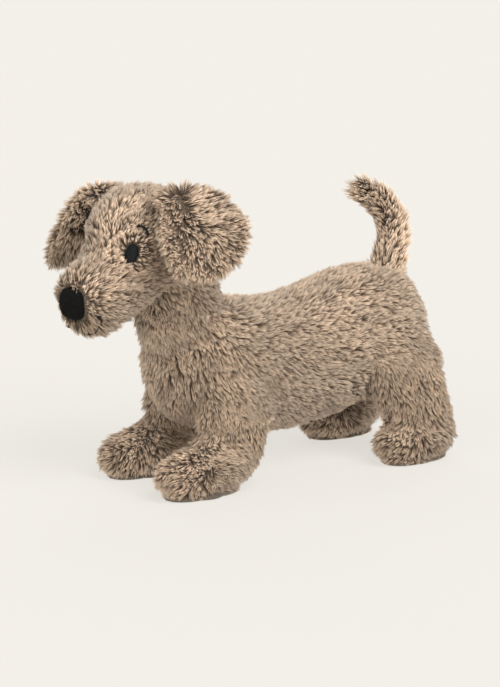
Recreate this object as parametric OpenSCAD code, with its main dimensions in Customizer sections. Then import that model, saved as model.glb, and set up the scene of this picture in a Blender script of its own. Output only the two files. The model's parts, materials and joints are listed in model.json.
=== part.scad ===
// Plush dog, standing, with a long body, hanging ears and a raised tail.
// Frame: the dog looks along -Y, its left side is +X, and Z is up from the floor under its paws.

/* [Fabric] */
// Thickness of the plush fabric with its pile pressed down
fabric_t = 5; // [3:0.5:6]
// Thickness of the sole panels under the paws
sole_t = 2.5; // [1.5:0.5:4]
// Room between the stuffing and the fabric round it
fill_gap = 0.4; // [0.3:0.1:1]
// Room between two parts that move against each other
move_gap = 1.6; // [1.5:0.1:2]

/* [Torso] */
// Width of the torso at the rump
torso_w = 116; // [110:1:120]
// Height of the belly above the floor
belly_z = 38; // [36:1:42]
// Height of the back between the shoulders and the rump
back_z = 171; // [168:1:174]
// Width of the sewn-in belly panel
belly_panel_w = 40; // [30:1:46]

/* [Head] */
// Radius of the skull
skull_r = 54; // [52:0.5:56]
// Height of the middle of the skull
skull_z = 242; // [240:1:245]
// Angle by which the head looks to its left
head_turned = 6; // [0:1:8]
// Width of the forehead panel between the two head sides
forehead_w = 36; // [24:1:44]
// Height of one eye
eye_h = 18; // [12:1:20]
// Width of one eye
eye_w = 11; // [8:1:13]

/* [Limbs] */
// Distance between the middles of the two front paws
front_track = 98; // [96:1:102]
// Distance between the middles of the two hind paws
hind_track = 124; // [120:1:128]
// Farthest swing of a leg to either side of upright, in degrees
leg_swing = 15; // [5:1:15]
// Farthest nod of the neck to either side, in degrees
neck_nod = 12; // [5:1:12]
// Thickness of an ear
ear_t = 12; // [9:1:14]
// Radius of the tail
tail_r = 15; // [12:1:16]

/* [Hidden] */

// Fabric, stuffing and thread colours
plush = [0.64, 0.55, 0.46];
plush_dark = [0.55, 0.46, 0.37];
fibre = [0.93, 0.92, 0.89];
black = [0.06, 0.06, 0.06];
sole_brown = [0.36, 0.29, 0.23];

// Sides of the large forms, of the slim ones and of the surfaces inside them
round_fn = 24;
slim_fn = 14;
inner_fn = 12;
// A length that reaches past every part
far = 400;

// Every soft form is a chain of rounded stations, each [centre, radii].
torso_mid = (belly_z + back_z) / 2 + 1.5;
torso_half = (back_z - belly_z) / 2;
side = torso_w / 2;
torso = [
    [[0, -58, torso_mid + 14], [side - 4, 46, torso_half - 4]],
    [[0, -22, torso_mid + 5], [side - 2, 46, torso_half - 1]],
    [[0, 46, torso_mid - 1], [side - 2, 46, torso_half]],
    [[0, 118, torso_mid + 14], [side + 2, 52, torso_half + 1]],
    [[0, 156, torso_mid + 19], [side + 1, 53, torso_half - 1]]
];

skull = [0, -116, skull_z];
head = [
    [skull + [0, 24, -9], [skull_r - 3, skull_r - 5, skull_r - 4]],
    [skull, [skull_r, skull_r, skull_r]],
    [skull + [0, -18, -17], [skull_r - 9, 36, 44]],
    [skull + [0, -36, -34], [skull_r - 13, 33, 37]],
    [skull + [0, -61, -47], [39, 30, 35]]
];

nod_hinge = [0, -70, 158];
turn_axis = [0, -82, 215];
neck_r = 40;
neck = [
    [nod_hinge, [neck_r, neck_r + 2, neck_r + 2]],
    [[0, -73, 178], [neck_r + 1, neck_r + 3, neck_r]],
    [[0, -78, 196], [neck_r, neck_r, neck_r]],
    [turn_axis, [neck_r - 2, neck_r - 2, neck_r - 2]]
];

nose = [[0, -199.5, 193.5], [12.5, 9.5, 15]];
nose_t = 1.5;

front_hinge = [0, -44, 100];
front_leg = [
    [[41, -44, 100], [20, 31, 31]],
    [[44, -40, 74], [23, 36, 30]],
    [[47, -44, 46], [24, 37, 30]],
    [[front_track / 2 - 1, -64, 28], [25, 35, 28]],
    [[front_track / 2, -93, 21], [25, 38, 25]]
];
hind_hinge = [0, 150, 112];
hind_leg = [
    [[46, 150, 112], [20, 42, 42]],
    [[52, 164, 76], [24, 42, 33]],
    [[57, 172, 46], [25, 38, 29]],
    [[hind_track / 2 - 1, 173, 26], [26, 38, 26]],
    [[hind_track / 2, 156, 20], [26, 39, 24]]
];

tail_hinge = [0, 172, 174];
tail = [
    [tail_hinge, [tail_r + 3, tail_r + 3, tail_r + 3]],
    [[0, 181, 198], [tail_r, tail_r, tail_r]],
    [[0, 182, 224], [tail_r, tail_r, tail_r]],
    [[0, 168, 247], [tail_r - 1, tail_r - 1, tail_r - 1]],
    [[0, 146, 262], [tail_r - 4, tail_r - 4, tail_r - 4]]
];

// An ear hangs from its root line. Its own frame has Y along the root, -Z down the flap
// and X through its thickness.
// The two ears don't hang quite alike, as on any soft toy.
ear_root_left = [50, -106, 292];
ear_root_right = [60, -116, 281];
ear_flare_left = 38;
ear_flare_right = 32;
ear_yaw_left = -14;
ear_yaw_right = -4;
// How far the sewn-on base of each ear reaches in towards the skull
ear_reach_left = 5;
ear_reach_right = 6.5;
ear = [
    [[0, 0, 0], [ear_t / 2, 28, 7]],
    [[0, 8, -27], [ear_t / 2, 44, 24]],
    [[0, 5, -52], [ear_t / 2, 43, 25]],
    [[0, -4, -73], [ear_t / 2 - 1, 32, 17]]
];

// ---- Rounded forms ----

function between(p0, p1, p2, p3, t) =
    0.5 * (2 * p1 + t * (p2 - p0) + t * t * (2 * p0 - 5 * p1 + 4 * p2 - p3)
        + t * t * t * (3 * p1 - p0 - 3 * p2 + p3));

// The stations with steps - 1 more on a smooth curve between each two
function eased(list, steps) = [
    for (i = [0:len(list) - 2], k = [0:steps - 1])
        between(list[max(i - 1, 0)], list[i], list[i + 1], list[min(i + 2, len(list) - 1)], k / steps),
    list[len(list) - 1]
];

module ball(station, grow, sides) {
    translate(station[0])
        scale(station[1] + [grow, grow, grow])
            sphere(1, $fn = sides);
}

module soft(list, grow = 0, steps = 2, sides = round_fn) {
    chain = eased(list, steps);
    for (i = [0:len(chain) - 2])
        hull() {
            ball(chain[i], grow, sides);
            ball(chain[i + 1], grow, sides);
        }
}

module shell(list, thickness, steps = 2, sides = round_fn) {
    difference() {
        soft(list, 0, steps, sides);
        soft(list, -thickness, steps, inner_fn);
    }
}

// A leg swells a little between its stations, so its bay has this much more room
bay_slack = 1;

// The space that the top of a leg sweeps as it turns about the hinge's own X line
module leg_bay(leg, hinge) {
    for (i = [0:2])
        hull()
            for (turn = [-leg_swing, leg_swing], k = [i, i + 1])
                translate(hinge)
                    rotate([turn, 0, 0])
                        translate(-hinge)
                            ball(leg[k], move_gap + bay_slack, slim_fn);
}

// Everything on one side of the plane at x
module left_of(x) {
    translate([x, -far, -far])
        cube(2 * far);
}

module right_of(x) {
    translate([x - 2 * far, -far, -far])
        cube(2 * far);
}

// ---- Torso ----

module both_sides() {
    children();
    mirror([1, 0, 0])
        children();
}

module limb_bays() {
    both_sides() {
        leg_bay(front_leg, front_hinge);
        leg_bay(hind_leg, hind_hinge);
    }
    neck_bay();
    tail_bay();
}

// A funnel round the neck's lower ball, wide enough for the nod
module neck_bay() {
    rise = 50;
    hull() {
        ball(neck[0], move_gap + 2, round_fn);
        ball([neck[0][0] + [0, -6, rise], neck[0][1]], move_gap + 2 + rise * sin(neck_nod), round_fn);
    }
}

// A funnel round the tail's lower ball, wide enough for the wag
module tail_bay() {
    hull() {
        ball(tail[0], move_gap, slim_fn);
        ball([tail_hinge + [0, 8, 50], tail[0][1]], move_gap + 4, slim_fn);
    }
}

// The stuffing of the torso stops short of the leg tops with plain round recesses
module stuffing_recess(leg, hinge) {
    spread = leg[1][1][1] + leg_swing + 8;
    hull() {
        translate([leg[0][0][0] - leg[0][1][0] - move_gap, hinge[1], hinge[2]])
            rotate([0, 90, 0])
                cylinder(h = far, r = leg[0][1][1] + move_gap, $fn = 32);
        translate([leg[0][0][0] - leg[0][1][0] - move_gap, hinge[1] - spread, 0])
            cube([far, 2 * spread, hinge[2] * 0.62]);
    }
}

module belly_zone() {
    translate([-belly_panel_w / 2, -52, 0])
        cube([belly_panel_w, 200, torso_mid - 10]);
}

module torso_shell() {
    difference() {
        shell(torso, fabric_t);
        limb_bays();
    }
}

module torso_cover_left() {
    color(plush)
        difference() {
            intersection() {
                torso_shell();
                left_of(0);
            }
            belly_zone();
        }
}

module torso_cover_right() {
    color(plush)
        difference() {
            intersection() {
                torso_shell();
                right_of(0);
            }
            belly_zone();
        }
}

module belly_panel() {
    color(plush_dark)
        intersection() {
            torso_shell();
            belly_zone();
        }
}

module torso_stuffing() {
    color(fibre)
        difference() {
            soft(torso, -fabric_t - fill_gap, 2, inner_fn);
            both_sides() {
                stuffing_recess(front_leg, front_hinge);
                stuffing_recess(hind_leg, hind_hinge);
            }
            neck_bay();
            tail_bay();
        }
}

// ---- Neck ----

module neck_cover_left() {
    color(plush)
        intersection() {
            shell(neck, fabric_t, 3, round_fn);
            left_of(0);
        }
}

module neck_cover_right() {
    color(plush)
        intersection() {
            shell(neck, fabric_t, 3, round_fn);
            right_of(0);
        }
}

module neck_stuffing() {
    color(fibre)
        soft(neck, -fabric_t - fill_gap, 3, inner_fn);
}

// ---- Head ----

// The head turns about the upright line through the neck's top ball, so its socket is round
module neck_socket() {
    drop = 14;
    hull() {
        ball(neck[3], move_gap, round_fn);
        ball([turn_axis - [0, 0, drop], neck[2][1]], move_gap + 4, round_fn);
    }
    translate(turn_axis - [0, 0, drop + 50])
        cylinder(h = 50, r1 = neck_r + 18, r2 = neck_r + 5, $fn = 36);
}

// The head looks a little to its left: all that is sewn to it turns about the neck's upright line
module head_pose() {
    translate(turn_axis)
        rotate([0, 0, head_turned])
            translate(-turn_axis)
                children();
}

module head_shell() {
    difference() {
        shell(head, fabric_t);
        neck_socket();
        ball(nose, 0.2, slim_fn);
    }
}

module forehead_zone() {
    translate([-forehead_w / 2, -far, skull_z - 18])
        cube([forehead_w, far - 60, far]);
}

module head_cover_left() {
    color(plush)
        head_pose()
            difference() {
                intersection() {
                    head_shell();
                    left_of(0);
                }
                forehead_zone();
            }
}

module head_cover_right() {
    color(plush)
        head_pose()
            difference() {
                intersection() {
                    head_shell();
                    right_of(0);
                }
                forehead_zone();
            }
}

module forehead_panel() {
    color(plush_dark)
        head_pose()
            intersection() {
                head_shell();
                forehead_zone();
            }
}

module head_stuffing() {
    color(fibre)
        head_pose()
            difference() {
                soft(head, -fabric_t - fill_gap, 2, inner_fn);
                neck_socket();
                ball(nose, 0.4, slim_fn);
            }
}

// A padded cap, open at the back where it is sewn to the muzzle
module nose_cover() {
    color(black)
        head_pose()
            difference() {
                ball(nose, 0, slim_fn);
                ball(nose, -nose_t, slim_fn);
                translate(nose[0])
                    rotate([-90, 0, 0])
                        cylinder(h = far, r = nose[1][0] / 2, $fn = 24);
            }
}

module nose_stuffing() {
    color(fibre)
        head_pose()
            ball(nose, -nose_t - 3 * fill_gap, slim_fn);
}

// A thin layer of thread lying on the head's fabric
module thread_layer(height) {
    difference() {
        soft(head, height);
        soft(head);
    }
}

// Places flat artwork in front of the skull, seen from the compass turn and lift given
module on_skull(turn, lift) {
    translate(skull)
        rotate([0, 0, turn])
            rotate([90 + lift, 0, 0])
                translate([0, 0, skull_r - 25])
                    linear_extrude(60)
                        children();
}

eye_turn = 42;
eye_lift = -3;
brow_turn = 47;
brow_lift = -15;

module eye(s) {
    color(black)
        head_pose()
            intersection() {
                thread_layer(1.2);
                on_skull(s * eye_turn, -eye_lift)
                    rotate(s * -14)
                        scale([eye_w / eye_h, 1])
                            circle(d = eye_h, $fn = 32);
            }
}

module eyebrow(s) {
    color(black)
        head_pose()
            intersection() {
                thread_layer(1);
                on_skull(s * brow_turn, brow_lift)
                    rotate(s * -40)
                        difference() {
                            circle(r = 10, $fn = 48);
                            circle(r = 8.4, $fn = 48);
                            translate([-20, -34])
                                square(40);
                        }
            }
}

module eye_left() {
    eye(1);
}

module eye_right() {
    eye(-1);
}

module eyebrow_left() {
    eyebrow(1);
}

module eyebrow_right() {
    eyebrow(-1);
}

// A line of thread that runs under the nose from one cheek to the other
module mouth_stitch() {
    color(black)
        head_pose()
            intersection() {
                thread_layer(1);
                translate([0, head[4][0][1], 196])
                    rotate([90, 0, 0])
                        linear_extrude(60)
                            difference() {
                                circle(r = 33.8, $fn = 48);
                                circle(r = 32.2, $fn = 48);
                                translate([-40, -11])
                                    square(80);
                            }
            }
}

// ---- Ears ----

module place_ear(s) {
    head_pose()
        scale([s, 1, 1])
            translate(s > 0 ? ear_root_left : ear_root_right)
                rotate(s > 0 ? [0, -ear_flare_left, ear_yaw_left] : [0, -ear_flare_right, ear_yaw_right])
                    children();
}

module ear_half(s, outer) {
    reach = s > 0 ? ear_reach_left : ear_reach_right;
    base = [[1 - ear_t / 2 - reach, 0, 0], [ear_t / 2 - 1, 24, 7]];
    place_ear(s)
        intersection() {
            soft(concat([base], ear), 0, 2, slim_fn);
            if (outer)
                left_of(0);
            else
                right_of(0);
        }
}

module ear_left_outside() {
    color(plush)
        ear_half(1, true);
}

module ear_left_lining() {
    color(plush_dark)
        ear_half(1, false);
}

module ear_right_outside() {
    color(plush)
        ear_half(-1, true);
}

module ear_right_lining() {
    color(plush_dark)
        ear_half(-1, false);
}

// ---- Tail ----

module tail_cover_left() {
    color(plush)
        intersection() {
            shell(tail, fabric_t - 1, 2, slim_fn);
            left_of(0);
        }
}

module tail_cover_right() {
    color(plush)
        intersection() {
            shell(tail, fabric_t - 1, 2, slim_fn);
            right_of(0);
        }
}

module tail_stuffing() {
    color(fibre)
        soft(tail, 1 - fabric_t - fill_gap, 2, inner_fn);
}

// ---- Legs ----

module above_sole() {
    translate([-far, -far, sole_t])
        cube([2 * far, 2 * far, far]);
}

module leg_shell(leg) {
    intersection() {
        shell(leg, fabric_t, 2, slim_fn);
        above_sole();
    }
}

leg_split = 48;

module leg_outside(s, leg) {
    color(plush)
        scale([s, 1, 1])
            intersection() {
                leg_shell(leg);
                left_of(leg_split);
            }
}

module leg_inside(s, leg) {
    color(plush_dark)
        scale([s, 1, 1])
            intersection() {
                leg_shell(leg);
                right_of(leg_split);
            }
}

module leg_stuffing(s, leg) {
    color(fibre)
        scale([s, 1, 1])
            intersection() {
                soft(leg, -fabric_t - fill_gap, 2, inner_fn);
                translate([0, 0, fill_gap])
                    above_sole();
            }
}

// The sole panel is an oval with its long side along the paw
module sole(s, leg) {
    heel = leg[3];
    toe = leg[4];
    color(sole_brown)
        linear_extrude(sole_t)
            hull() {
                translate([s * heel[0][0], heel[0][1]])
                    scale([heel[1][0] - 6, heel[1][1] - 8])
                        circle(1, $fn = 32);
                translate([s * toe[0][0], toe[0][1]])
                    scale([toe[1][0] - 6, toe[1][1] - 8])
                        circle(1, $fn = 32);
            }
}

module front_left_leg_outside() {
    leg_outside(1, front_leg);
}

module front_left_leg_inside() {
    leg_inside(1, front_leg);
}

module front_left_sole() {
    sole(1, front_leg);
}

module front_left_stuffing() {
    leg_stuffing(1, front_leg);
}

module front_right_leg_outside() {
    leg_outside(-1, front_leg);
}

module front_right_leg_inside() {
    leg_inside(-1, front_leg);
}

module front_right_sole() {
    sole(-1, front_leg);
}

module front_right_stuffing() {
    leg_stuffing(-1, front_leg);
}

module hind_left_leg_outside() {
    leg_outside(1, hind_leg);
}

module hind_left_leg_inside() {
    leg_inside(1, hind_leg);
}

module hind_left_sole() {
    sole(1, hind_leg);
}

module hind_left_stuffing() {
    leg_stuffing(1, hind_leg);
}

module hind_right_leg_outside() {
    leg_outside(-1, hind_leg);
}

module hind_right_leg_inside() {
    leg_inside(-1, hind_leg);
}

module hind_right_sole() {
    sole(-1, hind_leg);
}

module hind_right_stuffing() {
    leg_stuffing(-1, hind_leg);
}

torso_cover_left();
torso_cover_right();
belly_panel();
torso_stuffing();
neck_cover_left();
neck_cover_right();
neck_stuffing();
head_cover_left();
head_cover_right();
forehead_panel();
head_stuffing();
nose_cover();
nose_stuffing();
eye_left();
eye_right();
eyebrow_left();
eyebrow_right();
mouth_stitch();
ear_left_outside();
ear_left_lining();
ear_right_outside();
ear_right_lining();
tail_cover_left();
tail_cover_right();
tail_stuffing();
front_left_leg_outside();
front_left_leg_inside();
front_left_sole();
front_left_stuffing();
front_right_leg_outside();
front_right_leg_inside();
front_right_sole();
front_right_stuffing();
hind_left_leg_outside();
hind_left_leg_inside();
hind_left_sole();
hind_left_stuffing();
hind_right_leg_outside();
hind_right_leg_inside();
hind_right_sole();
hind_right_stuffing();
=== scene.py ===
"""Looks for a plush dog: pile fabric, stitched face, soles and filling, built round the CAD frame.

Lengths are metres in the CAD frame: the dog looks along -Y, its left is +X, and Z is up."""

import json
import math

import bmesh
import bpy
import numpy as np
from mathutils import Matrix, Vector, kdtree
from mathutils.bvhtree import BVHTree


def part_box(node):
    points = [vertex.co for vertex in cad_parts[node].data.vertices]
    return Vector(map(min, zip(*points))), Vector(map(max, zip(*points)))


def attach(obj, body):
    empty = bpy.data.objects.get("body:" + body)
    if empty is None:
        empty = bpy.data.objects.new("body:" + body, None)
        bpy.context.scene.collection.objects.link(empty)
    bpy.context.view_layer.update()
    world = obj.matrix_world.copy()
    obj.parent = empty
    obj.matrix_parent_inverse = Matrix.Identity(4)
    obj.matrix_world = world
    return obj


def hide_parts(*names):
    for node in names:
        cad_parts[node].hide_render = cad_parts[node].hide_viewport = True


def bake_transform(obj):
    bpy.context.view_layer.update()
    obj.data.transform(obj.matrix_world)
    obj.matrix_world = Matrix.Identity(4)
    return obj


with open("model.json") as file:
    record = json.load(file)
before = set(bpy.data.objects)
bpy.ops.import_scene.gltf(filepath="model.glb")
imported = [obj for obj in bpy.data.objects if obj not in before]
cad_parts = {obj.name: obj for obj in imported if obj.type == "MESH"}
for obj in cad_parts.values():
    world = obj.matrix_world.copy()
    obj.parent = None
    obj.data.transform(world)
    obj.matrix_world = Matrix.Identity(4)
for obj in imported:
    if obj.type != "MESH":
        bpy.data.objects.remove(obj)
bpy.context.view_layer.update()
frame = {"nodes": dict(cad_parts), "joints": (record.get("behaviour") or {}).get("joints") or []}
NODES = frame["nodes"]
JOINTS = {j["name"]: j for j in frame["joints"]}
MM = 0.001
SIDES = {"left": 1, "right": -1}
LEGS = ["front_left", "front_right", "hind_left", "hind_right"]

# ---------------------------------------------------------------- camera and light

PHOTO_H = 687
CAMERA_TURN, CAMERA_LIFT, CAMERA_FAR = 55, 12.5, 3.0
CAMERA_LENS, FILM = 163.5, 36
TARGET = Vector((0, 0, 0.140))
TARGET_OFF = (-8.64, -12.36)  # where the target lands, in pixels right of and below the middle


def toward(turn, lift):
    """The direction of something seen turn degrees to the left of straight ahead and lift degrees up."""
    a, e = math.radians(turn), math.radians(lift)
    return Vector((math.sin(a) * math.cos(e), -math.cos(a) * math.cos(e), math.sin(e)))


def make_camera():
    data = bpy.data.cameras.new("camera")
    data.lens = CAMERA_LENS
    data.sensor_width = FILM
    data.clip_start, data.clip_end = 0.1, 200
    cam = bpy.data.objects.new("camera", data)
    bpy.context.scene.collection.objects.link(cam)
    back = toward(CAMERA_TURN, CAMERA_LIFT)
    cam.location = TARGET + back * CAMERA_FAR
    look = (-back).to_track_quat("-Z", "Y")
    right, up = look @ Vector((1, 0, 0)), look @ Vector((0, 1, 0))
    focal = CAMERA_LENS / FILM * PHOTO_H
    aim = -back - right * (TARGET_OFF[0] / focal) + up * (TARGET_OFF[1] / focal)
    cam.rotation_mode = "QUATERNION"
    cam.rotation_quaternion = aim.to_track_quat("-Z", "Y")
    bpy.context.scene.camera = cam


def sun(name, turn, lift, strength, softness, colour):
    data = bpy.data.lights.new(name, "SUN")
    data.energy = strength
    data.angle = math.radians(softness)
    data.color = colour
    lamp = bpy.data.objects.new(name, data)
    lamp.rotation_mode = "QUATERNION"
    lamp.rotation_quaternion = (-toward(turn, lift)).to_track_quat("-Z", "Y")
    bpy.context.scene.collection.objects.link(lamp)


def make_walls():
    """Pale walls all round, as bright as the floor, under a dimmer ceiling."""
    world = bpy.data.worlds.new("studio")
    world.use_nodes = True
    nodes, links = world.node_tree.nodes, world.node_tree.links
    place = nodes.new("ShaderNodeTexCoord")
    split = nodes.new("ShaderNodeSeparateXYZ")
    links.new(place.outputs["Generated"], split.inputs[0])
    height = ramp(nodes, [(0.30, (0.887, 0.862, 0.806)), (0.75, (0.30, 0.292, 0.275))])
    links.new(split.outputs["Z"], height.inputs[0])
    links.new(height.outputs[0], nodes["Background"].inputs["Color"])
    return world


def make_studio():
    scene = bpy.context.scene
    scene.view_settings.view_transform = "Standard"
    scene.world = make_walls()
    sun("key", 88, 42, 3.0, 45, (1, 0.985, 0.96))
    sun("fill", 25, 14, 1.7, 60, (1, 0.98, 0.95))
    sun("back", 240, 35, 1.15, 60, (1, 0.98, 0.96))

    mesh = bpy.data.meshes.new("floor")
    far = 60
    mesh.from_pydata([(-far, -far, 0), (far, -far, 0), (far, far, 0), (-far, far, 0)], [], [(0, 1, 2, 3)])
    mat, _, _, shader = new_material("floor_paper")
    shader.inputs["Base Color"].default_value = (0.166, 0.164, 0.160, 1)
    # light of its own keeps the shadow under the dog faint
    shader.inputs["Emission Color"].default_value = (0.657, 0.638, 0.596, 1)
    shader.inputs["Emission Strength"].default_value = 1
    shader.inputs["Roughness"].default_value = 1
    shader.inputs["Specular IOR Level"].default_value = 0
    mesh.materials.append(mat)
    new_object("floor", mesh)


# ---------------------------------------------------------------- numbers and fields


def unit(v):
    return v / np.maximum(np.linalg.norm(v, axis=-1, keepdims=True), 1e-12)


def smooth_step(low, high, x):
    t = np.clip((x - low) / (high - low), 0, 1)
    return t * t * (3 - 2 * t)


def drift(seed, cell):
    """A field of smooth random vectors in space, each part from -1 to 1, that changes over one cell."""
    lattice = np.random.default_rng(seed).uniform(-1, 1, (32, 32, 32, 3))

    def at(p):
        q = p / cell + 1000.37
        i = np.floor(q).astype(int)
        f = q - i
        f = f * f * (3 - 2 * f)
        total = np.zeros((len(p), 3))
        for corner in np.ndindex(2, 2, 2):
            w = np.prod([f[:, k] if corner[k] else 1 - f[:, k] for k in range(3)], axis=0)
            j = (i + corner) % 32
            total += w[:, None] * lattice[j[:, 0], j[:, 1], j[:, 2]]
        return total

    return at


SWAY = drift(11, 38 * MM)  # lie of the pile, over a hand's width
RUFFLE = drift(12, 9 * MM)  # lie of the pile, over a few tufts
PATCH = drift(13, 22 * MM)  # light and dark patches

# ---------------------------------------------------------------- meshes


def coords(mesh):
    co = np.empty(len(mesh.vertices) * 3, np.float32)
    mesh.vertices.foreach_get("co", co)
    return co.reshape(-1, 3).astype(float)


def new_object(name, mesh):
    ob = bpy.data.objects.new(name, mesh)
    bpy.context.scene.collection.objects.link(ob)
    return ob


def hull_of(points):
    """The convex solid round some points, as a mesh."""
    bm = bmesh.new()
    for p in points:
        bm.verts.new(p)
    found = bmesh.ops.convex_hull(bm, input=bm.verts)
    loose = {v for v in found["geom_interior"] + found["geom_unused"] if isinstance(v, bmesh.types.BMVert)}
    bmesh.ops.delete(bm, geom=list(loose), context="VERTS")
    mesh = bpy.data.meshes.new("hull")
    bm.to_mesh(mesh)
    bm.free()
    return mesh


class Skin:
    """A closed quad mesh: co, quads, and each point's outward normal."""

    def __init__(self, co, quads):
        self.co, self.quads = co, quads
        self.refresh()

    def refresh(self):
        a, b, c, d = (self.co[self.quads[:, k]] for k in range(4))
        face = np.cross(c - a, d - b)
        self.area = np.linalg.norm(face, axis=1) / 2
        self.normal = np.zeros_like(self.co)
        for k in range(4):
            np.add.at(self.normal, self.quads[:, k], face)
        self.normal = unit(self.normal)

    def relax(self, rounds, push=0.5):
        edges = np.concatenate([self.quads[:, [k, (k + 1) % 4]] for k in range(4)])
        count = np.bincount(edges.ravel(), minlength=len(self.co))[:, None]
        for _ in range(rounds):
            total = np.zeros_like(self.co)
            np.add.at(total, edges[:, 0], self.co[edges[:, 1]])
            np.add.at(total, edges[:, 1], self.co[edges[:, 0]])
            self.co = self.co + push * (total / count - self.co)
        self.refresh()

    def keep_largest(self):
        label = np.arange(len(self.co))
        while True:
            low = label[self.quads].min(axis=1)
            fresh = label.copy()
            for k in range(4):
                np.minimum.at(fresh, self.quads[:, k], low)
            fresh = fresh[fresh]
            if (fresh == label).all():
                break
            label = fresh
        names, sizes = np.unique(label, return_counts=True)
        good = label == names[sizes.argmax()]
        index = np.cumsum(good) - 1
        self.quads = index[self.quads[good[self.quads[:, 0]]]]
        self.co = self.co[good]
        self.refresh()

    def mesh(self, name):
        mesh = bpy.data.meshes.new(name)
        mesh.from_pydata(self.co.tolist(), [], self.quads.tolist())
        mesh.shade_smooth()
        return mesh

    def tree(self):
        return BVHTree.FromPolygons(self.co.tolist(), self.quads.tolist())


def remeshed(nodes, voxel, extra=()):
    """One closed quad skin round the named CAD nodes and some extra meshes."""
    bm = bmesh.new()
    for n in nodes:
        bm.from_mesh(NODES[n].data)
    for m in extra:
        bm.from_mesh(m)
    mesh = bpy.data.meshes.new("joined")
    bm.to_mesh(mesh)
    bm.free()
    ob = new_object("joined", mesh)
    mod = ob.modifiers.new("wrap", "REMESH")
    mod.mode = "VOXEL"
    mod.voxel_size = voxel
    wrapped = bpy.data.meshes.new_from_object(ob.evaluated_get(bpy.context.evaluated_depsgraph_get()))
    bpy.data.objects.remove(ob)
    quads = np.empty(len(wrapped.loops), np.int32)
    wrapped.loops.foreach_get("vertex_index", quads)
    skin = Skin(coords(wrapped), quads.reshape(-1, 4))
    skin.keep_largest()
    return skin


UPWARD = Vector((0.131, 0.083, 0.988)).normalized()  # not quite upright, so that it misses level edges
MOST_WALLS = 12


def depth_inside(tree, points, box_lo, box_hi):
    """How deep each point lies inside a closed skin: below zero outside, and -1 where it is far off."""
    out = np.full(len(points), -1.0)
    near = ((points > box_lo - 0.02) & (points < box_hi + 0.02)).all(axis=1)
    for i in np.flatnonzero(near):
        p = Vector(points[i])
        far = tree.find_nearest(p)[3]
        walls, ray = 0, p
        while walls < MOST_WALLS:
            hit = tree.ray_cast(ray, UPWARD)[0]
            if hit is None:
                break
            walls += 1
            ray = hit + UPWARD * 1e-5
        out[i] = far if walls % 2 else -far
    return out


# ---------------------------------------------------------------- pile

RINGS = np.array([0.0, 0.5, 1.0])  # places along a strand
GIRTH = np.array([0.80, 0.90, 0.0])  # thickness at each of the RINGS, from root to tip
FLOOR_GAP = 0.8 * MM


def scatter(skin, per_mm2, rng, weight=None):
    """Evenly spread roots over a skin: the place and the normal of each."""
    area = skin.area if weight is None else skin.area * weight
    total = area.sum()
    n = int(total * 1e6 * per_mm2)
    where = (np.arange(n) + rng.random(n)) / n * total
    quad = np.minimum(np.searchsorted(np.cumsum(area), where), len(area) - 1)
    s, t = rng.random((2, n, 1))
    at = []
    for values in (skin.co, skin.normal):
        a, b, c, d = (values[skin.quads[quad, k]] for k in range(4))
        at.append((a * (1 - s) + b * s) * (1 - t) + (d * (1 - s) + c * s) * t)
    return at[0], unit(at[1])


def tuft_lines(root, normal, flow, lift, length, rng):
    """The line of each strand at RINGS: it leaves the skin at the angle lift, then lies over along flow."""
    along = flow - normal * (flow * normal).sum(axis=1, keepdims=True)
    along = unit(along + rng.normal(0, 0.16, along.shape))
    along = unit(along - normal * (along * normal).sum(axis=1, keepdims=True))
    start = lift + rng.normal(0, 0.10, lift.shape)
    end = start * 0.55
    d0 = along * np.cos(start)[:, None] + normal * np.sin(start)[:, None]
    d1 = along * np.cos(end)[:, None] + normal * np.sin(end)[:, None]
    t = RINGS[None, :, None]
    return root[:, None] + length[:, None, None] * ((t - t * t / 2) * d0[:, None] + t * t / 2 * d1[:, None])


def gather(lines, each, pull, rng):
    """Draws the strands' ends together in tufts of about this many each."""
    root = lines[:, 0]
    order = rng.permutation(len(root))
    wanted = max(1, int(len(root) / each))
    lead = order[:wanted]
    tree = kdtree.KDTree(wanted)
    for i, k in enumerate(lead):
        tree.insert(root[k], i)
    tree.balance()
    own = np.array([tree.find(p)[1] for p in root])
    pull = pull * rng.uniform(0.55, 1.1, len(root))
    amount = np.clip(pull[:, None] * RINGS[None] ** 1.3, 0, 0.95)[:, :, None]
    target = lines[lead[own]]
    offset = root - target[:, 0]
    # the tuft narrows towards its tip, and its strands keep some of their own length
    lines = lines + amount * (target - lines) + amount * 0.12 * offset[:, None]
    lines[:, :, 2] = np.maximum(lines[:, :, 2], FLOOR_GAP)
    return lines, own


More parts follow.
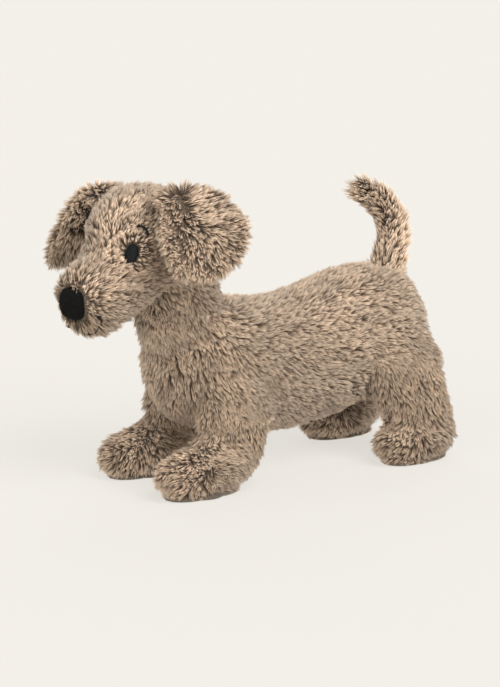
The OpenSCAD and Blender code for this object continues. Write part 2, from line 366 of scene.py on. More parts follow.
def strand_mesh(name, lines, width, shade, rng):
    """Closed three-sided strands, and the map that their colour reads: shade across, root to tip up."""
    n, rings = lines.shape[:2]
    tangent = unit(np.gradient(lines, axis=1))
    spin = unit(rng.normal(size=(n, 1, 3)))
    side = unit(np.cross(tangent, spin))
    other = np.cross(tangent, side)
    girth = (width / 2)[:, None] * GIRTH[None]
    turn = np.arange(3) * 2 * math.pi / 3
    cos, sin = np.cos(turn)[None, None, :, None], np.sin(turn)[None, None, :, None]
    round_it = cos * side[:, :-1, None] + sin * other[:, :-1, None]
    body = lines[:, :-1, None] + girth[:, :-1, None, None] * round_it
    points = np.concatenate([body.reshape(n, -1, 3), lines[:, -1:]], axis=1)
    per = points.shape[1]
    local = []
    for r in range(rings - 2):
        for k in range(3):
            m = (k + 1) % 3
            local.append((3 * r + k, 3 * r + m, 3 * r + 3 + m, 3 * r + 3 + k))
    last = 3 * (rings - 2)
    for k in range(3):
        local.append((last + k, last + (k + 1) % 3, per - 1))
    local.append((2, 1, 0))
    sizes = np.array([len(f) for f in local])
    flat = np.concatenate([np.array(f) for f in local])
    loops = (flat[None] + (np.arange(n) * per)[:, None]).ravel()
    totals = np.tile(sizes, n)
    starts = np.concatenate([[0], np.cumsum(totals)[:-1]])
    mesh = bpy.data.meshes.new(name)
    mesh.vertices.add(n * per)
    mesh.vertices.foreach_set("co", points.astype(np.float32).ravel())
    mesh.loops.add(len(loops))
    mesh.loops.foreach_set("vertex_index", loops.astype(np.int32))
    mesh.polygons.add(len(totals))
    mesh.polygons.foreach_set("loop_start", starts.astype(np.int32))
    mesh.update(calc_edges=True)
    up = np.concatenate([np.repeat(RINGS[:-1], 3), [1.0]])[flat]
    uv = np.empty((n, len(flat), 2), np.float32)
    uv[:, :, 0] = np.clip(shade, 0.02, 0.98)[:, None]
    uv[:, :, 1] = 0.02 + 0.96 * up[None]
    layer = mesh.uv_layers.new(name="OFBake")
    layer.data.foreach_set("uv", uv.ravel())
    mesh.shade_smooth()
    return new_object(name, mesh)


# ---------------------------------------------------------------- materials


def new_material(name):
    """A new material, its nodes, its links and its shader."""
    mat = bpy.data.materials.new(name)
    mat.use_nodes = True
    tree = mat.node_tree
    return mat, tree.nodes, tree.links, tree.nodes["Principled BSDF"]


def ramp(nodes, stops):
    """A node that turns a number into a colour."""
    node = nodes.new("ShaderNodeValToRGB")
    elements = node.color_ramp.elements
    while len(elements) < len(stops):
        elements.new(0.5)
    for e, (at, colour) in zip(elements, stops):
        e.position = at
        e.color = (*colour, 1)
    return node


def pile_material(name, root, middle, tip, sheen=0.25):
    """Pile yarn: dark at the root, pale at the tip, each strand its own shade. The pale tip is the yarn's own
    tipping; the dark root is partly painted shade for the depth between tufts.
    """
    mat, nodes, links, shader = new_material(name)
    uv = nodes.new("ShaderNodeUVMap")
    uv.uv_map = "OFBake"
    split = nodes.new("ShaderNodeSeparateXYZ")
    links.new(uv.outputs[0], split.inputs[0])
    # the dark root and middle are partly painted shade between tufts
    along = ramp(nodes, [(0.0, root), (0.54, middle), (0.94, tip)])
    links.new(split.outputs["Y"], along.inputs[0])
    shade = ramp(nodes, [(0.0, (0.42, 0.40, 0.37)), (0.5, (0.96, 0.96, 0.96)), (1.0, (1.34, 1.34, 1.35))])
    links.new(split.outputs["X"], shade.inputs[0])
    mix = nodes.new("ShaderNodeMix")
    mix.data_type = "RGBA"
    mix.blend_type = "MULTIPLY"
    mix.inputs["Factor"].default_value = 1
    links.new(along.outputs[0], mix.inputs["A"])
    links.new(shade.outputs[0], mix.inputs["B"])
    links.new(mix.outputs["Result"], shader.inputs["Base Color"])
    shader.inputs["Roughness"].default_value = 0.72
    shader.inputs["Specular IOR Level"].default_value = 0.25
    shader.inputs["Sheen Weight"].default_value = sheen
    shader.inputs["Sheen Roughness"].default_value = 0.5
    shader.inputs["Sheen Tint"].default_value = (1, 0.93, 0.85, 1)
    return mat


def cloth_material(name, low, high, weave, roughness=0.9, sheen=0.2, depth=0.25):
    """Knitted or woven cloth: fine ribs crossed with noise, in colour and bump."""
    mat, nodes, links, shader = new_material(name)
    place = nodes.new("ShaderNodeTexCoord")
    ribs = nodes.new("ShaderNodeTexVoronoi")
    ribs.inputs["Scale"].default_value = 1 / weave
    patches = nodes.new("ShaderNodeTexNoise")
    patches.inputs["Scale"].default_value = 60
    patches.inputs["Detail"].default_value = 6
    for n in (ribs, patches):
        links.new(place.outputs["Object"], n.inputs["Vector"])
    add = nodes.new("ShaderNodeMath")
    add.operation = "MULTIPLY_ADD"
    links.new(ribs.outputs["Distance"], add.inputs[0])
    add.inputs[1].default_value = 0.6
    links.new(patches.outputs["Fac"], add.inputs[2])
    colour = ramp(nodes, [(0.35, low), (0.95, high)])
    links.new(add.outputs[0], colour.inputs[0])
    links.new(colour.outputs[0], shader.inputs["Base Color"])
    bump = nodes.new("ShaderNodeBump")
    bump.inputs["Strength"].default_value = depth
    bump.inputs["Distance"].default_value = weave
    links.new(add.outputs[0], bump.inputs["Height"])
    links.new(bump.outputs[0], shader.inputs["Normal"])
    shader.inputs["Roughness"].default_value = roughness
    shader.inputs["Specular IOR Level"].default_value = 0.2
    shader.inputs["Sheen Weight"].default_value = sheen
    return mat


# the plush pile's near-black root and dark middle are partly painted shade between tufts; its pale tip is the
# pile's own tipping
FUR = pile_material("plush_pile", (0.022, 0.014, 0.008), (0.150, 0.094, 0.055), (0.98, 0.760, 0.570))
# the backing's dark brown is painted shade: it shows only in the gaps between tufts, as their shadow
BACKING = cloth_material("plush_backing", (0.060, 0.042, 0.029), (0.12, 0.086, 0.060), 1.2 * MM)
VELOUR = cloth_material(
    "nose_velour", (0.0015, 0.0016, 0.0016), (0.0035, 0.0037, 0.0037), 0.5 * MM, 0.97, 0.02
)
THREAD = cloth_material(
    "embroidery_thread", (0.0012, 0.0020, 0.0022), (0.004, 0.0060, 0.0065), 0.3 * MM, 0.6, 0.02
)
NAP = pile_material("nose_nap", (0.001, 0.001, 0.001), (0.002, 0.002, 0.002), (0.0045, 0.0047, 0.0047), 0.02)
SEAM = cloth_material("seam_thread", (0.10, 0.075, 0.052), (0.20, 0.155, 0.115), 0.3 * MM, 0.7, 0.2)
SOLE = cloth_material("sole_cloth", (0.055, 0.043, 0.031), (0.105, 0.082, 0.060), 0.7 * MM, 0.95, 0.4)
FILLING = cloth_material("fibre_filling", (0.62, 0.61, 0.58), (0.86, 0.85, 0.82), 3 * MM, 1.0, 0.3, 0.8)

# ---------------------------------------------------------------- skins under the pile

VOXEL, EAR_VOXEL = 3.0 * MM, 2.2 * MM
SWEPT = 9  # degrees that a limb swings each way inside the torso's skin
SINK_STEPS = 4
# heights on a leg: hull, where the torso's skin begins to take it in; torso, where the torso's pile starts;
# top, where its own pile ends; and fixed and free, the two ends of the span passed on as its blend
FRONT_HEIGHTS = {"hull": 0.062, "torso": 0.074, "top": 0.094, "fixed": 0.105, "free": 0.070}
HIND_HEIGHTS = {"hull": 0.086, "torso": 0.096, "top": 0.115, "fixed": 0.124, "free": 0.080}
LEG_HEIGHTS = {leg: FRONT_HEIGHTS if leg.startswith("front") else HIND_HEIGHTS for leg in LEGS}
SINK, EAR_SINK = 5.0 * MM, 3.5 * MM  # how far the backing lies under the outside of the CAD part


def points_of(nodes):
    return np.concatenate([coords(NODES[n].data) for n in nodes])


def place_of(joint):
    return np.array(JOINTS[joint]["pos_m"])


def leg_nodes(leg):
    return [f"{leg}_leg_outside", f"{leg}_leg_inside", f"{leg}_sole", f"{leg}_stuffing"]


NECK_NODES = ["neck_cover_left", "neck_cover_right", "neck_stuffing"]
TAIL_NODES = ["tail_cover_left", "tail_cover_right", "tail_stuffing"]
TORSO_NODES = ["torso_cover_left", "torso_cover_right", "belly_panel", "torso_stuffing"]
HEAD_NODES = ["head_cover_left", "head_cover_right", "forehead_panel", "head_stuffing"]


def top_hull(nodes, low, high=math.inf, joint=None):
    """The convex solid round a part between two heights, and round the space it sweeps about its hinge."""
    p = points_of(nodes)
    if joint:
        pivot, axis = place_of(joint), Vector(JOINTS[joint]["axis"])
        turns = [np.array(Matrix.Rotation(math.radians(a), 3, axis)) for a in (-SWEPT, SWEPT)]
        p = np.concatenate([p] + [(p - pivot) @ r.T + pivot for r in turns])
    return hull_of(p[(p[:, 2] > low) & (p[:, 2] < high)])


def make_skins():
    """A skin for each body. The torso's also takes in the tops of the legs, neck and tail."""
    fills = [top_hull(leg_nodes(leg), LEG_HEIGHTS[leg]["hull"], joint=f"{leg}_leg_swing") for leg in LEGS]
    fills += [top_hull(NECK_NODES, 0.0, 0.174, "neck_nod"), top_hull(TAIL_NODES, 0.0, 0.186)]
    skins = {
        "torso": remeshed(TORSO_NODES, VOXEL, fills),
        "neck": remeshed(NECK_NODES, VOXEL),
        "head": remeshed(HEAD_NODES, VOXEL, [top_hull(NECK_NODES, 0.196)]),
        "tail": remeshed(TAIL_NODES, VOXEL),
    }
    for leg in LEGS:
        skins[leg] = remeshed(leg_nodes(leg), VOXEL)
    for side in SIDES:
        skins[f"ear_{side}"] = remeshed([f"ear_{side}_outside", f"ear_{side}_lining"], EAR_VOXEL)
    for name, skin in skins.items():
        ear = name.startswith("ear")
        skin.relax(10 if ear else 14)
        for _ in range(SINK_STEPS):
            skin.co = skin.co - skin.normal * (EAR_SINK if ear else SINK) / SINK_STEPS
            skin.relax(3, 0.3)
    return skins


SKINS = make_skins()
TREES = {name: skin.tree() for name, skin in SKINS.items()}
BOXES = {name: (skin.co.min(0), skin.co.max(0)) for name, skin in SKINS.items()}


def inside(name, points):
    return depth_inside(TREES[name], points, *BOXES[name])


# ---------------------------------------------------------------- the lie of the pile


def centre_of(*nodes):
    p = points_of(nodes)
    return (p.min(0) + p.max(0)) / 2


HEAD_PIVOT = place_of("head_turn")
NOSE_PLACE = centre_of("nose_cover")
HEAD_ANGLE = math.atan2(NOSE_PLACE[0] - HEAD_PIVOT[0], HEAD_PIVOT[1] - NOSE_PLACE[1])


def turned(p, angle):
    """Places or directions turned about Z."""
    c, s = math.cos(angle), math.sin(angle)
    return np.stack([c * p[..., 0] - s * p[..., 1], s * p[..., 0] + c * p[..., 1], p[..., 2]], axis=-1)


def to_head(p):
    """A place in the head's own frame, where the nose is straight ahead."""
    return turned(p - HEAD_PIVOT, -HEAD_ANGLE) + HEAD_PIVOT


def from_head(p):
    return turned(p - HEAD_PIVOT, HEAD_ANGLE) + HEAD_PIVOT


NOSE = to_head(NOSE_PLACE)
EYES = {s: to_head(centre_of(f"eye_{s}")) for s in SIDES}
BROWS = {s: to_head(centre_of(f"eyebrow_{s}")) for s in SIDES}


def away(p, centre):
    return unit(p - centre)


def flow_torso(p, n):
    back = np.array([0, 1.0, -0.10])
    down = np.array([0, 0.10, -1.0])
    side = 1 - np.abs(n[:, 2:3]).clip(0, 1)
    d = back + down * 0.45 * side
    chest = 1 - smooth_step(-0.070, 0.010, p[:, 1:2])
    d = d * (1 - chest) + (down + [0, 0.15, 0] + 0.35 * n * [1, 0, 0]) * chest
    rump = smooth_step(0.130, 0.190, p[:, 1:2]) * smooth_step(0.17, 0.12, p[:, 2:3])
    return d + down * 1.3 * rump


def flow_neck(p, n):
    return np.broadcast_to([0, 0.35, -1.0], p.shape) + 0.2 * n


def flow_head(p, n):
    p, n = to_head(p), turned(n, -HEAD_ANGLE)
    stop = np.array([0, -0.150, 0.222])
    d = unit(p - stop) + [0, 0.25, 0.1]
    muzzle = smooth_step(-0.138, -0.162, p[:, 1:2]) * smooth_step(0.250, 0.228, p[:, 2:3])
    from_nose = away(p, NOSE) + [0, 0.30, 0.15]
    d = d * (1 - muzzle) + from_nose * muzzle
    nape = smooth_step(-0.115, -0.075, p[:, 1:2])
    d = d * (1 - nape) + np.array([0, 0.3, -1.0]) * nape
    cheek = smooth_step(0.215, 0.190, p[:, 2:3]) * (1 - muzzle)
    d = d * (1 - cheek) + np.array([0, 0.9, -0.6]) * cheek
    for s in SIDES:
        far = np.linalg.norm(p - EYES[s], axis=1, keepdims=True)
        d = d + 2.6 * smooth_step(0.022, 0.010, far) * away(p, EYES[s])
    return turned(d, HEAD_ANGLE)


def ear_parting(ear):
    """The middle of the line from which an ear's pile falls both ways."""
    return SKINS[ear].co.mean(0) * 0.62 + place_of(f"{ear}_lift") * 0.38


def ear_flow(ear):
    down = unit(SKINS[ear].co.mean(0) - place_of(f"{ear}_lift"))
    parting = ear_parting(ear) + [0, -0.006, 0]
    half = 0.014

    def flow(p, n):
        along = ((p - parting) @ down).clip(-half, half)[:, None] * down
        swirl = 0.9 * SWAY(p + 0.3) + 0.9 * RUFFLE(p + 0.1)
        near = smooth_step(0.022, 0.004, np.linalg.norm(p - parting - along, axis=1))[:, None]
        return 1.1 * away(p, parting + along) + 0.30 * down + swirl * near

    return flow


def leg_flow(leg):
    front = leg.startswith("front")
    lo, hi = BOXES[leg]
    paw = np.array([(lo[0] + hi[0]) / 2, lo[1] + (0.045 if front else 0.040), 0.034])

    def flow(p, n):
        down = np.array([0, 0.05, -1.0])
        radial = away(p, paw)
        radial[:, 2] = np.minimum(radial[:, 2], 0.10)
        low = smooth_step(0.072, 0.034, p[:, 2:3])
        near = low * smooth_step(paw[1] + 0.050, paw[1] + 0.015, p[:, 1:2])
        return down * (1 - near) + near * (1.2 * radial + [0, -0.1, 0])

    return flow


def flow_tail(p, n):
    up = smooth_step(0.225, 0.262, p[:, 2:3])
    along = np.array([0, 0.12, 1.0]) * (1 - up) + np.array([0, -1.0, 0.45]) * up
    return along + 0.25 * n


def half_size(node):
    """Half the size of a head part along the head's own axes."""
    p = to_head(points_of([node]))
    return (p.max(0) - p.min(0)) / 2


def axes_of(node):
    """A flat node's own frame: its middle, its long, short and outward directions, and its half sizes."""
    p = points_of([node])
    middle = (p.min(0) + p.max(0)) / 2
    q = p - p.mean(0)
    _, vectors = np.linalg.eigh(q.T @ q)
    out, short, long = vectors[:, 0], vectors[:, 1], vectors[:, 2]
    skull = centre_of("head_stuffing")
    if (middle - skull) @ out < 0:
        out = -out
    if long[2] < 0:
        long = -long
    short = np.cross(long, out)
    half = [np.abs(q @ v).max() for v in (long, short, out)]
    return middle, long, short, out, half


EYE_INWARD = 1.4 * MM


def eye_axes(side):
    """An eye's frame, a little nearer the nose than its CAD part."""
    middle, long, short, out, half = axes_of(f"eye_{side}")
    return middle - SIDES[side] * short * EYE_INWARD, long, short, out, half


EYE_AXES = {s: eye_axes(s) for s in SIDES}
NOSE_HALF = half_size("nose_cover")
NOSE_WIDER = 1.28  # the padded nose bulges past its CAD part
NOSE_SQUARE = 2.6  # 2 is an egg, more is squarer


def eye_area(side, p):
    middle, long, short, out, half = EYE_AXES[side]
    q = p - middle
    oval = (q @ long / half[0]) ** 2 + (q @ short / half[1]) ** 2
    return (oval < 0.72) & (np.linalg.norm(q, axis=1) < 0.02)


# ---------------------------------------------------------------- growing


def cull(points, neighbours):
    """Which roots are worth growing: those not buried in a neighbouring skin."""
    good = np.ones(len(points), bool)
    for name, deepest in neighbours:
        good &= inside(name, points) < deepest
    return good


PILE = 13.5 * MM  # length of the pile on the body


def face_marks(p):
    """How near each place is to an eye or a brow: 1 at its edge, 0 away from it."""
    near = np.zeros(len(p))
    for s in SIDES:
        near = np.maximum(near, smooth_step(0.019, 0.009, np.linalg.norm(p - EYES[s], axis=1)))
        near = np.maximum(near, 0.8 * smooth_step(0.014, 0.007, np.linalg.norm(p - BROWS[s], axis=1)))
    return near


def length_map(body, p):
    base = np.full(len(p), PILE)
    if body == "head":
        p = to_head(p)
        base = base * (1 - 0.40 * face_marks(p))
        far = np.linalg.norm(p - NOSE, axis=1)
        base = base * (1 - 0.12 * smooth_step(0.028, 0.016, far))
    if body == "tail":
        base = base * (1.25 + 0.35 * smooth_step(0.235, 0.262, p[:, 2]))
    if body.startswith("ear"):
        base = base * 1.05
    if body in LEGS:
        base = base * (1 - 0.35 * smooth_step(0.020, 0.008, p[:, 2]))
    return base


def lift_map(body, p, lift):
    """The angle between each strand and the skin under it, in radians."""
    rise = np.full(len(p), lift)
    if body == "head":
        q = to_head(p)
        rise = rise + (1.45 - rise) * face_marks(q)
        rise = rise - 0.10 * smooth_step(0.045, 0.016, np.linalg.norm(q - NOSE, axis=1))
    if body.startswith("ear"):
        rise = rise + 0.35 * smooth_step(0.026, 0.006, np.linalg.norm(p - ear_parting(body), axis=1))
    if body in LEGS:
        rise = rise + 0.20 * smooth_step(0.050, 0.025, p[:, 2])
    return rise


FULL_DENSITY = 0.80  # strands a square millimetre
DENSITY = FULL_DENSITY
TUFT, PULL = 8.0, 0.74  # strands in a tuft, and how far their tips draw together
# ears and tail start from a paler shade: painted light that makes up for the shade between their upright
# strands
EAR_TAIL_PAINTED_LIGHT, BODY_SHADE = 0.61, 0.5


def grow(body, flow, neighbours, seed, lift=0.80, drop=None):
    """All the strands of one skin: their lines, widths and shades."""
    rng = np.random.default_rng(seed)
    skin = SKINS[body]
    root, normal = scatter(skin, DENSITY, rng)
    good = cull(root, neighbours)
    if drop:
        good &= ~drop(root, normal)
    root, normal = root[good], normal[good]
    way = unit(flow(root, normal)) + 0.50 * SWAY(root) + 0.42 * RUFFLE(root)
    rise = lift_map(body, root, lift) + 0.22 * RUFFLE(root + 0.5)[:, 0]
    length = length_map(body, root) * rng.uniform(0.74, 1.16, len(root))
    lines = tuft_lines(root - normal * 1.0 * MM, normal, way, rise, length, rng)
    lines, own = gather(lines, TUFT, PULL, rng)
    tuft_shade = rng.normal(0, 0.12, own.max() + 1)[own]
    # the paler base of ears and tail is painted light
    base = EAR_TAIL_PAINTED_LIGHT if body.startswith(("ear", "tail")) else BODY_SHADE
    shade = base + 0.16 * PATCH(root)[:, 0] + tuft_shade + rng.normal(0, 0.10, len(root))
    width = rng.uniform(0.80, 1.45, len(root)) * MM * math.sqrt(FULL_DENSITY / DENSITY)
    return {"root": root, "normal": normal, "lines": lines, "width": width, "shade": shade, "rng": rng}


def finish_piece(ob, material, nodes=(), ride=None, blend=None, slot="plush_fur", fill=None):
    """Gives a new piece its material, the CAD nodes that it stands for, and what it moves with. Its slot is
    not used.
    """
    ob.data.materials.append(material)
    if nodes:
        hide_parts(*nodes)
    if ride:
        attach(ob, ride)
    if blend:
        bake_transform(ob)


def piece_of(grown, name, chosen, node, **how):
    """A fur piece of the chosen strands."""
    lines, width, shade = (grown[k][chosen] for k in ("lines", "width", "shade"))
    finish_piece(strand_mesh(name, lines, width, shade, grown["rng"]), FUR, [node], **how)


def halves(p):
    """Which places lie on each side of the middle."""
    return (("left", p[:, 0] >= 0), ("right", p[:, 0] < 0))


def up_blend(a, b, low, high):
    return (a, b, (0, 0, low), (0, 0, high))


# the torso's pile in three pieces a side, along its length
TORSO_PARTS = (("chest", -math.inf, 0.009), ("middle", 0.009, 0.122), ("rump", 0.122, math.inf))
NECK_MID = 0.178
NECK_BLEND = {
    "low": up_blend("torso", "neck", 0.140, NECK_MID),
    "high": up_blend("neck", "head", NECK_MID, 0.215),
}
TAIL_BLEND = up_blend("torso", "tail", 0.180, 0.202)
EAR_BEND = 15 * MM


def leg_blend(leg):
    return up_blend("torso", f"{leg}_leg", LEG_HEIGHTS[leg]["fixed"], LEG_HEIGHTS[leg]["free"])


def ear_blend(ear):
    root = place_of(f"{ear}_lift")
    tip = root + unit(centre_of(f"{ear}_outside") - root) * EAR_BEND
    return ("head", ear, tuple(root), tuple(tip))


def make_torso_fur():
    def drop(p, n):
        """Where a leg's own pile takes over from the torso's."""
        out = np.zeros(len(p), bool)
        for leg in LEGS:
            out |= (p[:, 2] < LEG_HEIGHTS[leg]["torso"]) & (inside(leg, p) > 1.0 * MM)
        return out

    g = grow("torso", flow_torso, [("neck", 14 * MM), ("tail", 9 * MM)], 21, drop=drop)
    p, n = g["root"], g["normal"]
    belly = (n[:, 2] < -0.45) & (np.abs(p[:, 0]) < 0.036) & (p[:, 2] < 0.1)
    for side, half in halves(p):
        for part, low, high in TORSO_PARTS:
            here = half & ~belly & (p[:, 1] >= low) & (p[:, 1] < high)
            piece_of(g, f"torso_fur_{side}_{part}", here, f"torso_cover_{side}", ride="torso")
    piece_of(g, "belly_fur", belly, "belly_panel", ride="torso")


def make_neck_fur():
    g = grow("neck", flow_neck, [("torso", 10 * MM), ("head", 12 * MM)], 22)
    p = g["root"]
    low = p[:, 2] < NECK_MID
    for side, half in halves(p):
        for part, here in (("low", low), ("high", ~low)):
            name = f"neck_fur_{side}_{part}"
            piece_of(g, name, half & here, f"neck_cover_{side}", blend=NECK_BLEND[part])


def make_head_fur():
    def drop(p, n):
        """Where the eyes and the nose take the pile's place."""
        out = np.zeros(len(p), bool)
        for s in SIDES:
            out |= eye_area(s, p)
        q = to_head(p) - NOSE
        across = np.linalg.norm(q[:, [0, 2]] / NOSE_HALF[[0, 2]] / [NOSE_WIDER, 1], axis=1)
        return out | ((across < 1.02) & (q[:, 1] < 0.02))

    g = grow("head", flow_head, [("neck", 12 * MM)], 23, drop=drop)
    p = to_head(g["root"])
    forehead = (np.abs(p[:, 0]) < 0.018) & (p[:, 2] > 0.236) & (p[:, 1] < -0.085)
    muzzle = p[:, 1] < -0.143
    for side, half in halves(p):
        for part, here in (("head", ~muzzle), ("muzzle", muzzle)):
            piece_of(g, f"{part}_fur_{side}", half & ~forehead & here, f"head_cover_{side}", ride="head")
    piece_of(g, "forehead_fur", forehead, "forehead_panel", ride="head")


def make_ear_fur(side, seed):
    ear = f"ear_{side}"
    g = grow(ear, ear_flow(ear), [("head", 7 * MM)], seed, lift=0.85)
    outer = g["normal"] @ unit(np.array([SIDES[side], 0, 0.9])) > 0
    for part, here in (("outside", outer), ("lining", ~outer)):
        piece_of(g, f"ear_fur_{side}_{part}", here, f"{ear}_{part}", blend=ear_blend(ear))


def make_tail_fur():
    g = grow("tail", flow_tail, [("torso", 8 * MM)], 26, lift=0.85)
    for side, half in halves(g["root"]):
        piece_of(g, f"tail_fur_{side}", half, f"tail_cover_{side}", blend=TAIL_BLEND)


def make_leg_fur(leg, seed):
    sole_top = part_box(f"{leg}_sole")[1].z + 1.0 * MM

    def drop(p, n):
        """Where the torso and the sole take the leg's place."""
        above = p[:, 2] > LEG_HEIGHTS[leg]["top"] + 0.004 * RUFFLE(p)[:, 0]
        return above | ((p[:, 2] < sole_top) & (n[:, 2] < -0.6))

    g = grow(leg, leg_flow(leg), [("torso", 9 * MM)], seed, drop=drop)
    outer = SIDES[leg.split("_")[1]] * g["root"][:, 0] > 0.048
    for part, here in (("outside", outer), ("inside", ~outer)):
        piece_of(g, f"{leg}_fur_{part}", here, f"{leg}_leg_{part}", blend=leg_blend(leg))


def make_fur():
    make_torso_fur()
    make_neck_fur()
    make_head_fur()
    make_ear_fur("left", 24)
    make_ear_fur("right", 25)
    make_tail_fur()
    for seed, leg in enumerate(LEGS, 30):
        make_leg_fur(leg, seed)


# ---------------------------------------------------------------- backing, filling, face


def cut_level(mesh, z, keep_low):
    """Cuts a closed mesh at a height, keeps one part of it and closes the cut."""
    bm = bmesh.new()
    bm.from_mesh(mesh)
    geom = list(bm.verts) + list(bm.edges) + list(bm.faces)
    bmesh.ops.bisect_plane(
        bm, geom=geom, plane_co=(0, 0, z), plane_no=(0, 0, 1), clear_outer=keep_low, clear_inner=not keep_low
    )
    bmesh.ops.holes_fill(bm, edges=[e for e in bm.edges if e.is_boundary])
    bm.to_mesh(mesh)
    bm.free()


def make_backing():
    """The cloth that the pile grows from, dark brown as painted shade for the gaps between tufts."""

    def backing(name, mesh, **how):
        finish_piece(new_object(name, mesh), BACKING, fill=0.8, **how)

    def whole(body, **how):
        name = f"{body}_backing"
        backing(name, SKINS[body].mesh(name), **how)

    whole("torso", ride="torso")
    for part in ("low", "high"):
        name = f"neck_backing_{part}"
        mesh = SKINS["neck"].mesh(name)
        cut_level(mesh, NECK_MID, part == "low")
        backing(name, mesh, blend=NECK_BLEND[part])
    whole("head", ride="head")
    whole("tail", blend=TAIL_BLEND)
    for side in SIDES:
        whole(f"ear_{side}", blend=ear_blend(f"ear_{side}"))
    for leg in LEGS:
        whole(leg, blend=leg_blend(leg))


def make_filling():
    """Loose fibre, a little lumpy and smaller than the cloth round it."""
    parts = [("torso", "torso", 4 * MM, 0.8), ("neck", "neck", 4 * MM, 0.8), ("head", "head", 4 * MM, 0.8),
             ("tail", "tail", 3 * MM, 0.8), ("head", "nose", 1.2 * MM, 0.8)]
    parts += [(f"{leg}_leg", leg, 4 * MM, 1.6) for leg in LEGS]
    lumps = drift(51, 13 * MM)
    for body, part, voxel, sunk in parts:
        skin = remeshed([f"{part}_stuffing"], voxel)
        skin.relax(5)
        skin.co = skin.co - skin.normal * sunk * voxel * (1 + 0.35 * lumps(skin.co)[:, :1])
        ob = new_object(f"{part}_filling", skin.mesh(f"{part}_filling"))
        finish_piece(ob, FILLING, [f"{part}_stuffing"], ride=body, slot="fibre_filling", fill=0.95)


# ---------------------------------------------------------------- nose, eyes, brows, mouth and soles


def loft(rings, middles):
    """A closed mesh through rings of points, from the first middle point to the last one."""
    n = len(rings[0])
    points = [*map(tuple, np.concatenate(rings)), tuple(middles[0]), tuple(middles[1])]
    faces = []
    for k in range(n):
        m = (k + 1) % n
        for r in range(len(rings) - 1):
            faces.append((r * n + k, r * n + m, (r + 1) * n + m, (r + 1) * n + k))
        faces.append((m, k, len(points) - 2))
        faces.append(((len(rings) - 1) * n + k, (len(rings) - 1) * n + m, len(points) - 1))
    return points, faces


def threads(paths, radius, sides=6):
    """Round threads along paths of points, closed at both ends."""
    points, faces = [], []
    turn = np.arange(sides) * 2 * math.pi / sides
    for path in paths:
        tangent = unit(np.gradient(path, axis=0))
        spin = np.cross(tangent[0], path[0] - path[-1] + [0.3, 0.5, 0.7])
        side = unit(spin - tangent * (tangent @ spin)[:, None])
        other = np.cross(tangent, side)
        rings = [c + radius * (np.cos(turn)[:, None] * a + np.sin(turn)[:, None] * b)
                 for c, a, b in zip(path, side, other)]
        more, faced = loft(rings, (path[0], path[-1]))
        faces += [tuple(i + len(points) for i in f) for f in faced]
        points += more
    return points, faces


def joined(*parts):
    points, faces = [], []
    for more, faced in parts:
        faces += [tuple(i + len(points) for i in f) for f in faced]
        points += more
    return points, faces


def piece_from(name, shape, material, nodes, **how):
    """A piece from points and faces, with its faces turned outward."""
    mesh = bpy.data.meshes.new(name)
    mesh.from_pydata(shape[0], [], shape[1])
    bm = bmesh.new()
    bm.from_mesh(mesh)
    bmesh.ops.recalc_face_normals(bm, faces=bm.faces)
    bm.to_mesh(mesh)
    bm.free()
    mesh.shade_smooth()
    finish_piece(new_object(name, mesh), material, nodes, **how)


def stitched(name, shape, node):
    piece_from(name, shape, THREAD, [node], ride="head", slot="embroidery_thread")


def make_nose():
    """A velour cap, squarer than an egg, with a short nap."""
    bm = bmesh.new()
    bmesh.ops.create_icosphere(bm, subdivisions=4, radius=1)
    q = np.array([v.co for v in bm.verts])
    q = q / (np.abs(q) ** NOSE_SQUARE).sum(axis=1, keepdims=True) ** (1 / NOSE_SQUARE)
    q = NOSE + [0, 4.4 * MM, 0] + q * NOSE_HALF * [NOSE_WIDER, 1.22, 1.02]
    for v, c in zip(bm.verts, from_head(q)):
        v.co = c
    mesh = bpy.data.meshes.new("nose")
    bm.to_mesh(mesh)
    bm.free()
    skin = remeshed([], 0.9 * MM, [mesh])
    skin.relax(2)
    skin.co = skin.co + skin.normal * 0.25 * MM * drift(52, 3 * MM)(skin.co)[:, :1]
    skin.refresh()
    ob = new_object("nose_velour", skin.mesh("nose_velour"))
    finish_piece(ob, VELOUR, ["nose_cover"], ride="head", slot="nose_velour", fill=0.9)

    rng = np.random.default_rng(53)
    root, normal = scatter(skin, 4.5, rng)
    way = normal * 0.2 + drift(54, 4 * MM)(root)
    lines = tuft_lines(root, normal, way, np.full(len(root), 0.9), rng.uniform(0.7, 1.3, len(root)) * MM, rng)
    nap = strand_mesh("nose_nap", lines, np.full(len(root), 0.22 * MM), rng.random(len(root)), rng)
    finish_piece(nap, NAP, ride="head", slot="nose_velour")


def node_tree_of(node):
    mesh = NODES[node].data
    return BVHTree.FromPolygons(coords(mesh).tolist(), [tuple(f.vertices) for f in mesh.polygons])


def dropped(tree, place, out):
    """The point of a surface under a place, looking against the outward direction."""
    hit = tree.ray_cast(Vector(place + out * 30 * MM), Vector(-out))[0]
    if hit is None:
        near = np.array(tree.find_nearest(Vector(place))[0])
        return place + out * ((near - place) @ out)
    return np.array(hit)


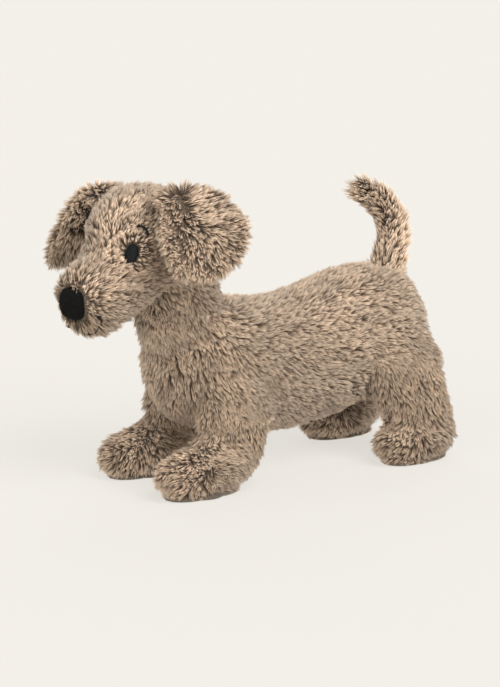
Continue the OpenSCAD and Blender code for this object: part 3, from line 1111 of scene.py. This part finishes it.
def make_eye(side):
    """Satin stitch over a padded oval."""
    node = f"eye_{side}"
    middle, long, short, out, (a, b, _) = EYE_AXES[side]
    a, b, sunk = 0.90 * a, 0.96 * b, 1.9 * MM
    tree = node_tree_of(node)

    def at(u, v, height):
        return dropped(tree, middle + short * u * b + long * v * a, out) + out * height

    stitches = []
    for v in np.arange(-0.97, 0.98, 0.42 * MM / a):
        chord = math.sqrt(1 - v * v)
        path = []
        for u in np.linspace(-1, 1, 11):
            dip = -1.6 * MM if abs(u) == 1 else 0
            swell = 0.9 * MM * (1 - u * u * chord * chord - v * v)
            path.append(at(u * chord, v + 0.03 * u, swell + dip - sunk))
        stitches.append(np.array(path))
    ring = np.linspace(0, 2 * math.pi, 32, endpoint=False)
    levels = [(0.92, -4.0), (0.98, -2.2), (0.96, -0.9), (0.80, 0.0), (0.45, 0.4)]
    rings = [np.array([at(g * math.cos(t), g * math.sin(t), h * MM - sunk) for t in ring]) for g, h in levels]
    pad = loft(rings, (at(0, 0, levels[0][1] * MM - sunk), at(0, 0, 0.5 * MM - sunk)))
    stitched(f"eye_{side}_stitching", joined(pad, threads(stitches, 0.26 * MM)), node)


def arc_path(node, out, step, trims):
    """The line that a stitched arc follows, as points on its outer surface: a circle when seen along out."""
    p = points_of([node])
    across = unit(np.cross(out, [0, 0, 1]))
    up = np.cross(across, out)
    q = np.stack([p @ across, p @ up], axis=1)
    cx, cy, k = np.linalg.lstsq(np.c_[2 * q, np.ones(len(q))], (q**2).sum(axis=1), rcond=None)[0]
    r = math.sqrt(k + cx * cx + cy * cy)
    angle = np.sort(np.arctan2(q[:, 1] - cy, q[:, 0] - cx))
    gaps = np.diff(np.append(angle, angle[0] + 2 * math.pi))
    widest = gaps.argmax()
    start, sweep = angle[(widest + 1) % len(angle)], 2 * math.pi - gaps[widest]
    tree = node_tree_of(node)
    level = (p @ out).mean()
    turns = start + sweep * np.linspace(trims[0], 1 - trims[1], max(int(r * sweep / step), 4))
    return np.array([
        dropped(tree, across * (cx + r * math.cos(t)) + up * (cy + r * math.sin(t)) + out * level, out)
        for t in turns
    ])


def make_line(node, out, name, radius, depth, end_depth, trims):
    """A corded line of stitching, depth below the cloth's outside: a core with a thread wound round it."""
    step, pitch = 0.5 * MM, 1.1  # between points of the path, and the coil's turn at each of them
    path = arc_path(node, out, step, trims)
    tangent = unit(np.gradient(path, axis=0))
    side = unit(np.cross(tangent, out))
    lift = np.cross(side, tangent)
    from_end = np.minimum(np.arange(len(path)), np.arange(len(path))[::-1]) * step
    path = path - out * (end_depth + (depth - end_depth) * smooth_step(1 * MM, 7 * MM, from_end))[:, None]
    path[[0, -1]] -= out * 2.5 * radius
    wound = []
    for k in range(len(path) - 2):
        t = np.linspace(0, 1, 5)[:, None]
        spin = (k + t) * pitch
        centre = path[k] * (1 - t) + path[k + 1] * t
        wound.append(centre + radius * (np.cos(spin) * side[k] + np.sin(spin) * lift[k]))
    coil = np.concatenate([w[:-1] for w in wound])
    stitched(name, joined(threads([path], radius, 8), threads([coil], 0.22 * MM, 5)), node)


def make_sole(leg):
    """A padded oval of cloth let into the underside of the paw, with a row of stitches round it."""
    node = f"{leg}_sole"
    p = points_of([node])
    middle = (p.min(0) + p.max(0)) / 2
    q = (p - middle)[:, :2]
    angle, far = np.arctan2(q[:, 1], q[:, 0]), np.linalg.norm(q, axis=1)
    order = np.argsort(angle)
    ring = np.linspace(-math.pi, math.pi, 72, endpoint=False)
    edge = np.interp(ring, angle[order], far[order], period=2 * math.pi) - 3.0 * MM

    def at(grow, height):
        flat = np.stack([np.cos(ring), np.sin(ring)], axis=1) * (edge * grow)[:, None] + middle[:2]
        return np.c_[flat, np.full(len(ring), height * MM)]

    levels = [(0.45, 0.0), (0.80, 0.05), (0.93, 0.5), (1.0, 1.6), (1.0, 3.0), (0.95, 4.6), (0.60, 6.5)]
    rings = [at(g, h) for g, h in levels]
    ends = ([*middle[:2], 0], [*middle[:2], 6.8 * MM])
    how = {"ride": f"{leg}_leg", "slot": "sole_fabric"}
    piece_from(f"{leg}_sole_cloth", loft(rings, ends), SOLE, [node], **how)
    low, high = at(0.985, 1.2), at(1.03, 3.6)
    stitches = [np.array([low[k], (low[k] + high[k]) / 2 + 0.015 * (high[k] - middle) * [1, 1, 0], high[k]])
                for k in range(0, len(ring), 2)]
    piece_from(f"{leg}_sole_stitches", threads(stitches, 0.30 * MM, 5), SEAM, [], **how)


def make_face():
    make_nose()
    forward = turned(np.array([0, -1.0, 0]), HEAD_ANGLE)
    for side in SIDES:
        make_eye(side)
        node = f"eyebrow_{side}"
        make_line(node, axes_of(node)[3], f"{node}_stitching", 1.25 * MM, -1.8 * MM, -1.4 * MM, (0.10, 0.10))
    make_line("mouth_stitch", forward, "mouth_stitching", 1.0 * MM, 6.0 * MM, 0.6 * MM, (0.0, 0.26))


make_camera()
make_studio()
make_fur()
make_backing()
make_filling()
make_face()
for leg in LEGS:
    make_sole(leg)
